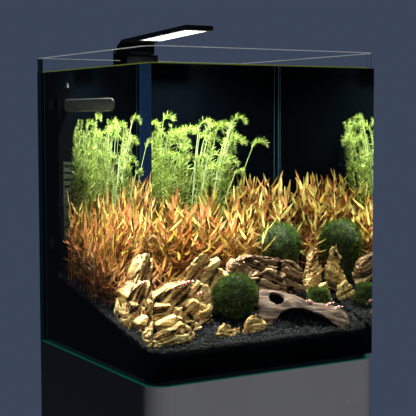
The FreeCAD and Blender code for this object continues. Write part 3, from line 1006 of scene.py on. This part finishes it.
class AQ_OT_gravel(bpy.types.Operator):
    """Lays the sloping bed of dark grains"""

    bl_idname = "aquarium.gravel"
    bl_label = "Gravel"

    def execute(self, context):
        bed = node_copy("gravel_packed", "gravel_bed", 0.0045)
        co, no = points(bed), normals(bed)
        depth = lumps(co, (260, 0.0007), (700, 0.0004))
        move_points(bed, co - no * (0.0011 + depth)[:, None])
        # the packed bed's near-black tone is partly the black gravel's own and partly painted shade for the
        # dark band behind the front pane
        use(bed, gravel_look("gravel_packed", (0.0003, 0.0004, 0.0005), (0.0030, 0.0035, 0.0042)))
        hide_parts("gravel_bed")
        deselect()
        bpy.ops.mesh.primitive_ico_sphere_add(subdivisions=1, radius=1)
        rng = random.Random(3)
        grain = context.object
        move_points(grain, points(grain) * np.array([1.0, 0.85, 0.75]))
        half = GLASS_HIGH.x - PANE - 0.0028
        places = []
        while len(places) < GRAINS:
            x, y = rng.uniform(-half, half), rng.uniform(-half, half)
            r = CORNER - PANE
            if y < -half + r and abs(x) > half - r and math.hypot(abs(x) - half + r, y + half - r) > r:
                continue
            s = rng.uniform(0.0011, 0.0021)
            z = bed_z(y) - 0.0006 + rng.uniform(-0.3, 0.5) * s
            spin = Euler([rng.uniform(0, 6.28) for _ in range(3)]).to_matrix().to_4x4()
            places.append(Matrix.Translation((x, y, z)) @ spin @ Matrix.Scale(s, 4))
        grains = repeat_mesh("gravel_grains", grain, places)
        use(grains, grain_look())
        for obj in (bed, grains):
            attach(obj, "aquarium")
        return {"FINISHED"}


class AQ_OT_stones(bpy.types.Operator):
    """Breaks the stones into layered, pitted rock"""

    bl_idname = "aquarium.stones"
    bl_label = "Stones"

    def execute(self, context):
        # deep is the painted shade of the stones' hollows and pale the painted highlight of their ledges
        yellow = broken_stone(
            "yellow_stone", (0.016, 0.008, 0.003), (0.29, 0.185, 0.070), (0.70, 0.55, 0.27)
        )
        brown = broken_stone(
            "brown_stone", (0.012, 0.007, 0.004), (0.105, 0.062, 0.036), (0.38, 0.27, 0.165)
        )
        # name, face size, slab size, ledge depth, pit depth, tilt of the beds, finish
        stones = (
            ("main_rock", 0.0016, 0.044, 0.0036, 0.0035, (0.25, 0.62, 0.2), yellow),
            ("left_rock", 0.0016, 0.036, 0.0032, 0.0030, (0.2, 0.40, 0.0), yellow),
            ("front_slab", 0.0013, 0.024, 0.0022, 0.0015, (0.1, 0.3, 0.0), yellow),
            ("middle_rock", 0.0017, 0.038, 0.0034, 0.0030, (-0.2, -0.30, 0.0), brown),
            ("side_rock", 0.0017, 0.024, 0.0022, 0.0018, (0.2, 0.5, 0.0), yellow),
            ("low_rock", 0.0016, 0.020, 0.0020, 0.0016, (0.1, -0.3, 0.0), yellow),
            ("front_stones", 0.0013, 0.017, 0.0018, 0.0012, (0.1, 0.4, 0.0), yellow),
        )
        for k, (name, face, block, depth, pit, tilt, mat) in enumerate(stones):
            stone = slabs(name + "_broken", STONES[name], face)
            rock = craggy(stone, 11 + k, block, depth, pit, tilt)
            use(rock, mat)
            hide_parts(name)
            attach(rock, "aquarium")
        return {"FINISHED"}


class AQ_OT_wood(bpy.types.Operator):
    """Grains the hollow log"""

    bl_idname = "aquarium.wood"
    bl_label = "Driftwood"

    def execute(self, context):
        log = self.trunk()
        co, no = points(log), normals(log)
        along = Vector((0.82, -0.56, -0.09)).normalized()
        out, relief = co.copy(), np.zeros(len(co))
        for i, (p, n) in enumerate(zip(co, no)):
            v = Vector(p)
            s = v.dot(along)
            q = (v - along * s) * 170 + along * (s * 20)
            grain = noise.noise(q) + 0.5 * noise.noise(q * 2.3)
            knot = noise.noise(v * 30)
            out[i] = p + n * (grain * 0.0012 + knot * 0.0026 - 0.0012)
            relief[i] = 0.5 + grain * 0.45 + knot * 0.35
        move_points(log, out)
        store(log, "relief", np.clip(relief, 0, 1))
        log.data.shade_smooth()
        wood = broken_stone(
            "driftwood", (0.008, 0.006, 0.005), (0.050, 0.034, 0.028), (0.165, 0.118, 0.094), (0.0, 0.1, 0.6)
        )
        use(log, wood)
        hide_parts("driftwood")
        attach(log, "aquarium")
        return {"FINISHED"}

    def trunk(self):
        """A sunken, tapering hollow trunk with a round hole on top and a low wide way in at its front."""
        a, b = Vector((0.030, -0.082, 0.774)), Vector((0.160, -0.154, 0.757))
        run = b - a
        side = Vector((run.y, -run.x, 0)).normalized()
        long, around = 110, 72
        verts, faces = [], []
        for i in range(long + 1):
            u = i / long
            wide = 0.045 * (1 - u) ** 0.55 + 0.019 * u ** 0.8 + 0.002 * math.sin(9 * u)
            high = wide * (1.12 - 0.12 * u)
            if u > 0.96:
                high *= 1 - (u - 0.96) * 8
            for j in range(around + 1):
                v = math.radians(-14 + 208 * j / around)
                verts.append(a + run * u + side * (wide * math.cos(v)) + Vector((0, 0, high * math.sin(v))))
        for i in range(long):
            for j in range(around):
                u, deg = (i + 0.5) / long, -14 + 208 * (j + 0.5) / around
                if math.hypot((u - 0.20) / 0.085, (deg - 62) / 17) < 1:
                    continue
                top = 50 * math.sin(math.pi * min(1, max(0, (u - 0.16) / 0.72))) ** 0.6
                if 0.16 < u < 0.88 and deg < top:
                    continue
                o = i * (around + 1) + j
                faces.append((o, o + around + 1, o + around + 2, o + 1))
        shell = mesh_object("driftwood_grained", verts, faces)
        outward(shell)
        mod = shell.modifiers.new("wall", "SOLIDIFY")
        mod.thickness = 0.0055
        mod.offset = -1
        only(shell)
        bpy.ops.object.modifier_apply(modifier=mod.name)
        return even(shell, 0.0015)


class AQ_OT_moss(bpy.types.Operator):
    """Covers the moss balls and the moss pad with short blades"""

    bl_idname = "aquarium.moss"
    bl_label = "Moss"

    def execute(self, context):
        core_mat = speckled("moss_core", (0.006, 0.012, 0.002), (0.02, 0.035, 0.006), 160.0, 0.9)
        tones = leaf_tones((0.012, 0.030, 0.004), (0.045, 0.095, 0.012), (0.14, 0.21, 0.03))
        blade_mat = leafy("moss_blades", tones, 0.25, 0.7)
        cushions = (("front_moss_ball", 9000), ("rear_moss_ball", 9000), ("moss_pad", 4500))
        for k, (name, count) in enumerate(cushions):
            core = node_copy(name + "_core", name, 0.0030)
            co, no = points(core), normals(core)
            lump = lumps(co, (75, 1.0), (190, 0.6))
            move_points(core, co + no * (lump * 0.0026 - 0.0030)[:, None])
            core.data.shade_smooth()
            use(core, core_mat)
            blades = tufts(name + "_blades", core, count, 0.0052, 0.0007, 20 + k)
            use(blades, blade_mat)
            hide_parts(name)
            for obj in (core, blades):
                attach(obj, "aquarium")
        return {"FINISHED"}


class AQ_OT_shrimps(bpy.types.Operator):
    """Sets small red and white banded shrimps on the stone and the log"""

    bl_idname = "aquarium.shrimps"
    bl_label = "Shrimps"

    def execute(self, context):
        body = self.shrimp()
        # (x, z) in millimetres where each one is set down from the front, its turn and its roll
        spots = (
            (-87, 856, -25, 20),
            (-55, 868, 60, 10),
            (-70, 838, -15, 25),
            (-35, 830, -50, 0),
            (-76, 802, 55, 20),
            (98, 809, 20, 0),
            (118, 815, 70, 15),
            (124, 803, -30, 0),
            (140, 802, 10, 20),
            (136, 797, -20, 10),
        )
        perches = ("main_rock_broken", "driftwood_grained", "moss_pad_core")
        targets = [o for o in context.scene.objects if o.name in perches]
        down = Vector((0, 1, -0.12)).normalized()
        places = []
        for x, z, turn, roll in spots:
            best = None
            for obj in targets:
                hit, at, normal, _ = obj.ray_cast(Vector((x / 1000, -0.18, z / 1000)), down)
                if hit and (best is None or at.y < best[0].y):
                    best = (at, normal)
            if best is None:
                continue
            at, normal = best
            spin = Matrix.Rotation(math.radians(turn), 4, "Y") @ Matrix.Rotation(math.radians(roll), 4, "X")
            places.append(Matrix.Translation(at + normal * 0.0016) @ spin @ Matrix.Scale(0.0155, 4))
        ring = points(body)[:, 0]
        red = (np.floor((ring + 0.5) * 5.4) % 2 == 0) & (np.abs(ring) < 0.5)
        shrimps = repeat_mesh("shrimps", body, places)
        store(shrimps, "band", np.tile(red.astype(float), len(places)))
        use(shrimps, self.bands())
        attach(shrimps, "aquarium")
        return {"FINISHED"}

    def shrimp(self):
        """A shrimp of unit length along +X: curved ringed body, tail fan, legs, feelers."""
        verts, faces = [], []
        rings, around = 13, 8
        for i in range(rings):
            t = i / (rings - 1)
            r = 0.145 * math.sin(math.pi * min(1, t * 0.86 + 0.10)) ** 0.7 * (1.0 if i % 2 else 0.92) + 0.008
            x, z = t - 0.5, 0.10 * math.sin(math.pi * t) - 0.10 * t * t
            for k in range(around):
                a = FULL_TURN * k / around
                verts.append((x, 0.8 * r * math.cos(a), z + r * math.sin(a)))
        for i in range(rings - 1):
            for k in range(around):
                j = (k + 1) % around
                faces.append((i * around + k, i * around + j, (i + 1) * around + j, (i + 1) * around + k))
        faces += [tuple(range(around))[::-1], tuple((rings - 1) * around + k for k in range(around))]

        def blade(a, b, w):
            o = len(verts)
            a, b, wide, deep = Vector(a), Vector(b), Vector((w, 0, 0)), Vector((0, w, 0))
            verts.extend([a + wide, a - wide, b + deep, b - deep])
            faces.append((o, o + 1, o + 3, o + 2))

        for k in range(5):
            for side in (-1, 1):
                blade((-0.30 + 0.13 * k, 0.04 * side, -0.03), (-0.34 + 0.15 * k, 0.13 * side, -0.17), 0.012)
        for side in (-1, 0, 1):
            blade((0.48, 0.02 * side, -0.08), (0.62, 0.10 * side, -0.10), 0.045)
            blade((-0.48, 0.03 * side, 0.03), (-0.95, 0.22 * side, 0.12 + 0.08 * abs(side)), 0.006)
        return mesh_object("shrimp", verts, faces, True)

    def bands(self):
        """Red and white rings, told apart by the body's own ring pattern."""
        mat, tree, out = material("banded_shell")
        shader = principled(tree, out, Roughness=0.3)
        stops = [(0.45, (0.90, 0.84, 0.78)), (0.55, (0.80, 0.010, 0.008))]
        tone = ramp(tree, attribute(tree, "band"), stops)
        tree.links.new(tone, shader.inputs["Base Color"])
        return mat


class AQ_OT_green_plants(bpy.types.Operator):
    """Grows the tall feathery stem plants"""

    bl_idname = "aquarium.green_plants"
    bl_label = "Green plants"

    def execute(self, context):
        rng = random.Random(8)
        paths, heads = [], []
        for _ in range(GREEN_STEMS):
            x = rng.uniform(-0.120, 0.052)
            y = rng.uniform(0.094, 0.160)
            top = WATER_Z - 0.069 - 0.085 * rng.random() ** 1.3
            base = Vector((x, y, bed_z(y) - 0.004))
            lean = Vector((rng.uniform(-0.016, 0.030), rng.uniform(-0.018, 0.010), 0))
            phase = rng.uniform(0, 6.28)
            path = []
            for i in range(16):
                t = i / 15
                sway = Vector((math.sin(phase + 5 * t), math.cos(1.7 * phase + 4 * t), 0)) * 0.003
                path.append(base.lerp(Vector((x, y, top)), t) + lean * t**1.8 + sway)
            paths.append(path)
        for _ in range(CURLED_TIPS):
            x = rng.uniform(-0.118, 0.044)
            y = rng.uniform(0.086, 0.130)
            top = rng.uniform(0.985, 1.082)
            path = []
            radius = rng.uniform(0.010, 0.020)
            reach = rng.uniform(0.010, 0.045)
            way = rng.uniform(-0.7, 0.4)
            side = Vector((math.cos(way), math.sin(way), 0))
            for i in range(10):
                t = i / 9
                straight = Vector((x, y, bed_z(y))).lerp(Vector((x, y, top - radius)), t)
                path.append(straight + side * reach * t * t)
            middle = path[-1] + side * radius
            for i in range(1, 10):
                a = math.pi * 0.95 * i / 9
                r = radius * (1 - 0.04 * i)
                path.append(middle - side * r * math.cos(a) + Vector((0, 0, r * math.sin(a))))
            heads.append(path)
        stems = stalks("green_stalks", paths + heads, 0.0010, 0.0006)
        tones = leaf_tones((0.07, 0.13, 0.02), (0.26, 0.36, 0.12), (0.62, 0.70, 0.44))
        use(stems, leafy("green_stalk", tones, 0.3))
        needles = []
        for path in paths:
            needles += whorls(path, rng, 0.0052, 8, 0.0125, (0.7, 1.25))
        for path in heads:
            needles += whorls(path[:9], rng, 0.011, 5, 0.0075, (0.7, 1.2))
            needles += whorls(path[9:], rng, 0.0022, 7, 0.0065, (0.6, 1.3))
        leaves = repeat_mesh("green_needles", needle_proto(), needles)
        tones = leaf_tones((0.020, 0.062, 0.002), (0.16, 0.25, 0.014), (0.62, 0.70, 0.26))
        use(leaves, leafy("green_leaf", tones, 0.45))
        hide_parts("green_stem_plants")
        for obj in (stems, leaves):
            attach(obj, "aquarium")
        return {"FINISHED"}


class AQ_OT_orange_plants(bpy.types.Operator):
    """Grows the bank of narrow orange and pink leaves"""

    bl_idname = "aquarium.orange_plants"
    bl_label = "Orange plants"

    def execute(self, context):
        rng = random.Random(14)
        spots = []
        tries = 0
        while len(spots) < ORANGE_STEMS and tries < 9000:
            tries += 1
            x, y = rng.uniform(-0.168, 0.172), rng.uniform(-0.060, 0.168)
            if x < -0.112 and y > 0.112:
                continue
            if -0.110 < x < 0.060 and y > 0.100:
                continue
            if math.hypot(x - 0.124, y - 0.048) < 0.046 or (x > 0.14 and y < 0.030):
                continue
            if x > -0.112 and y < 0.026:
                continue
            if x < -0.112 and y < -0.030 - 0.5 * (x + 0.112):
                continue
            if any((x - a) ** 2 + (y - b) ** 2 < 0.0085**2 for a, b in spots):
                continue
            spots.append((x, y))
        paths, leaves = [], []
        for x, y in spots:
            top = 0.912 + 0.45 * (y - 0.01) + rng.uniform(-0.020, 0.022)
            if x < -0.112:
                top -= 0.020
            top = min(top, 0.980)
            base = Vector((x, y, bed_z(y) - 0.003))
            lean = Vector((rng.uniform(-0.012, 0.012), rng.uniform(-0.014, 0.006), 0))
            path = [base.lerp(Vector((x, y, top - 0.020)), i / 9) + lean * (i / 9) ** 1.6 for i in range(10)]
            paths.append(path)
            turn = rng.uniform(0, 6.28)
            for k in range(ORANGE_LEAVES):
                t = 0.16 + 0.84 * k / (ORANGE_LEAVES - 1)
                f = t * 9
                i = min(8, int(f))
                p = path[i].lerp(path[i + 1], f - i)
                turn += 2.4
                rise = 0.02 + 0.88 * t**2 + rng.uniform(-0.40, 0.34)
                level = math.cos(rise)
                d = Vector((math.cos(turn) * level, math.sin(turn) * level, math.sin(rise)))
                long = (0.040 - 0.010 * t) * rng.uniform(0.65, 1.2)
                wide = 0.0074 * rng.uniform(0.55, 1.15)
                reach = GLASS_HIGH.x - PANE - 0.004
                if abs(p.x + d.x * long) > reach or p.y + d.y * long > reach:
                    continue
                leaves.append(place(p, d, rng.uniform(-0.9, 0.9), (wide, long, long)))
        stems = stalks("orange_stalks", paths, 0.0012, 0.0007)
        tones = leaf_tones((0.16, 0.05, 0.01), (0.36, 0.14, 0.04), (0.55, 0.28, 0.10))
        use(stems, leafy("orange_stalk", tones, 0.2))
        blades = repeat_mesh("orange_leaves", leaf_proto(1.0, 1.0, 0.55), leaves)
        co = points(blades)
        # painted shade and light: leaves are darker near the bed and towards the left and paler towards the
        # right, as if the light fell from the right and the low leaves lay in shadow
        rise = np.clip((co[:, 2] - bed_z(co[:, 1]) - 0.015) / 0.085, 0, 1)
        lit_towards_right = np.clip((co[:, 0] + 0.17) / 0.30, 0, 1)
        store(blades, "shade", read(blades, "shade") * (0.50 + 0.55 * rise) * (0.75 + 0.55 * lit_towards_right))
        use(blades, orange_look())
        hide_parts("orange_leaf_plants")
        for obj in (stems, blades):
            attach(obj, "aquarium")
        return {"FINISHED"}


class AQ_OT_finishes(bpy.types.Operator):
    """Gives every hard part of the stand, filter and lamp its finish"""

    bl_idname = "aquarium.finishes"
    bl_label = "Finishes"

    def execute(self, context):
        smoke = smoke_look()
        for values, extra, soft, names in FINISHES:
            mat = speckled(*values, **extra)
            for name in names:
                self.finish(name, mat, soft)
        self.finish("outlet_nozzle", smoke, 0.0)
        return {"FINISHED"}

    def finish(self, name, mat, soft):
        use(frame["nodes"][name], mat)
        if soft:
            ease(frame["nodes"][name], soft)


class AQ_OT_lamp(bpy.types.Operator):
    """Lights the clamp-on lamp"""

    bl_idname = "aquarium.lamp"
    bl_label = "Lamp"

    def execute(self, context):
        use(frame["nodes"]["lamp_diffuser"], lit_panel())
        low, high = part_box("lamp_diffuser")
        light = bpy.data.lights.new("tank_lamp", "AREA")
        light.shape = "RECTANGLE"
        light.size = high.x - low.x
        light.size_y = high.y - low.y
        light.energy = look().lamp_power
        light.color = (1.0, 0.96, 0.87)
        light.spread = math.radians(140)
        obj = bpy.data.objects.new("tank_lamp", light)
        context.scene.collection.objects.link(obj)
        obj.location = ((low.x + high.x) / 2, (low.y + high.y) / 2, low.z - 0.001)
        obj.visible_camera = False
        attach(obj, "lamp_head")
        return {"FINISHED"}


class AQ_OT_stage(bpy.types.Operator):
    """Adds the floor, the studio light, the room and the camera"""

    bl_idname = "aquarium.stage"
    bl_label = "Stage"

    def execute(self, context):
        scene = context.scene
        deselect()
        bpy.ops.mesh.primitive_circle_add(vertices=96, radius=2.2, fill_type="NGON")
        floor = context.object
        floor.name = "floor"
        use(floor, speckled("floor_paint", (0.55, 0.55, 0.55), (0.6, 0.6, 0.6), 3.0, 0.7))
        world = bpy.data.worlds.new("room")
        world.use_nodes = True
        back = world.node_tree.nodes["Background"]
        back.inputs["Color"].default_value = (*look().room_color, 1)
        scene.world = world
        scene.view_settings.view_transform = "Standard"
        for name, spot, target, size, power, spread in (
            ("stand_light", (0.05, -2.7, 1.0), (0.05, -0.1, 0.55), 0.7, 136.0, 180),
            ("key_light", (0.25, -2.7, 1.3), (0.05, -0.1, 0.72), 0.7, 0.8, 180),
            ("back_light", (1.3, 2.4, 1.7), (0, 0.1, 0.7), 1.0, 22.0, 180),
        ):
            light = bpy.data.lights.new(name, "AREA")
            light.size = size
            light.energy = power
            light.spread = math.radians(spread)
            obj = bpy.data.objects.new(name, light)
            scene.collection.objects.link(obj)
            obj.location = spot
            obj.rotation_euler = (Vector(target) - Vector(spot)).to_track_quat("-Z", "Y").to_euler()
            obj.visible_camera = obj.visible_glossy = obj.visible_transmission = False
            if name == "stand_light":
                lit = bpy.data.collections.new("stand_lit")
                for node in STAND_NODES:
                    lit.objects.link(frame["nodes"][node])
                obj.light_linking.receiver_collection = lit
        cam = bpy.data.cameras.new("camera")
        cam.lens = CAMERA_LENS
        cam.sensor_width = 36
        cam.shift_y = CAMERA_SHIFT
        cam.clip_start = 0.05
        eye = bpy.data.objects.new("camera", cam)
        scene.collection.objects.link(eye)
        eye.location = CAMERA_PLACE
        yaw, pitch, roll = (math.radians(a) for a in CAMERA_TURN)
        eye.rotation_euler = (
            Matrix.Rotation(-yaw, 3, "Z")
            @ Matrix.Rotation(math.pi / 2 - pitch, 3, "X")
            @ Matrix.Rotation(-roll, 3, "Z")
        ).to_euler()
        scene.camera = eye
        return {"FINISHED"}


PIECES = (
    AQ_OT_tank,
    AQ_OT_gravel,
    AQ_OT_stones,
    AQ_OT_wood,
    AQ_OT_moss,
    AQ_OT_shrimps,
    AQ_OT_green_plants,
    AQ_OT_orange_plants,
    AQ_OT_finishes,
    AQ_OT_lamp,
    AQ_OT_stage,
)


class AQ_PT_panel(bpy.types.Panel):
    """Lists the pieces of the aquarium"""

    bl_idname = "AQ_PT_panel"
    bl_label = "Aquarium"
    bl_space_type = "VIEW_3D"
    bl_region_type = "UI"
    bl_category = "Aquarium"

    def draw(self, context):
        for name in AquariumLook.__annotations__:
            self.layout.prop(context.scene.aquarium_look, name)
        for piece in PIECES:
            self.layout.operator(piece.bl_idname)


CLASSES = (AquariumLook, *PIECES, AQ_PT_panel)


def register():
    for cls in CLASSES:
        bpy.utils.register_class(cls)
    bpy.types.Scene.aquarium_look = bpy.props.PointerProperty(type=AquariumLook)


def unregister():
    del bpy.types.Scene.aquarium_look
    for cls in reversed(CLASSES):
        bpy.utils.unregister_class(cls)


def main():
    register()
    for piece in PIECES:
        group, name = piece.bl_idname.split(".")
        getattr(getattr(bpy.ops, group), name)()


if __name__ == "__main__":
    main()
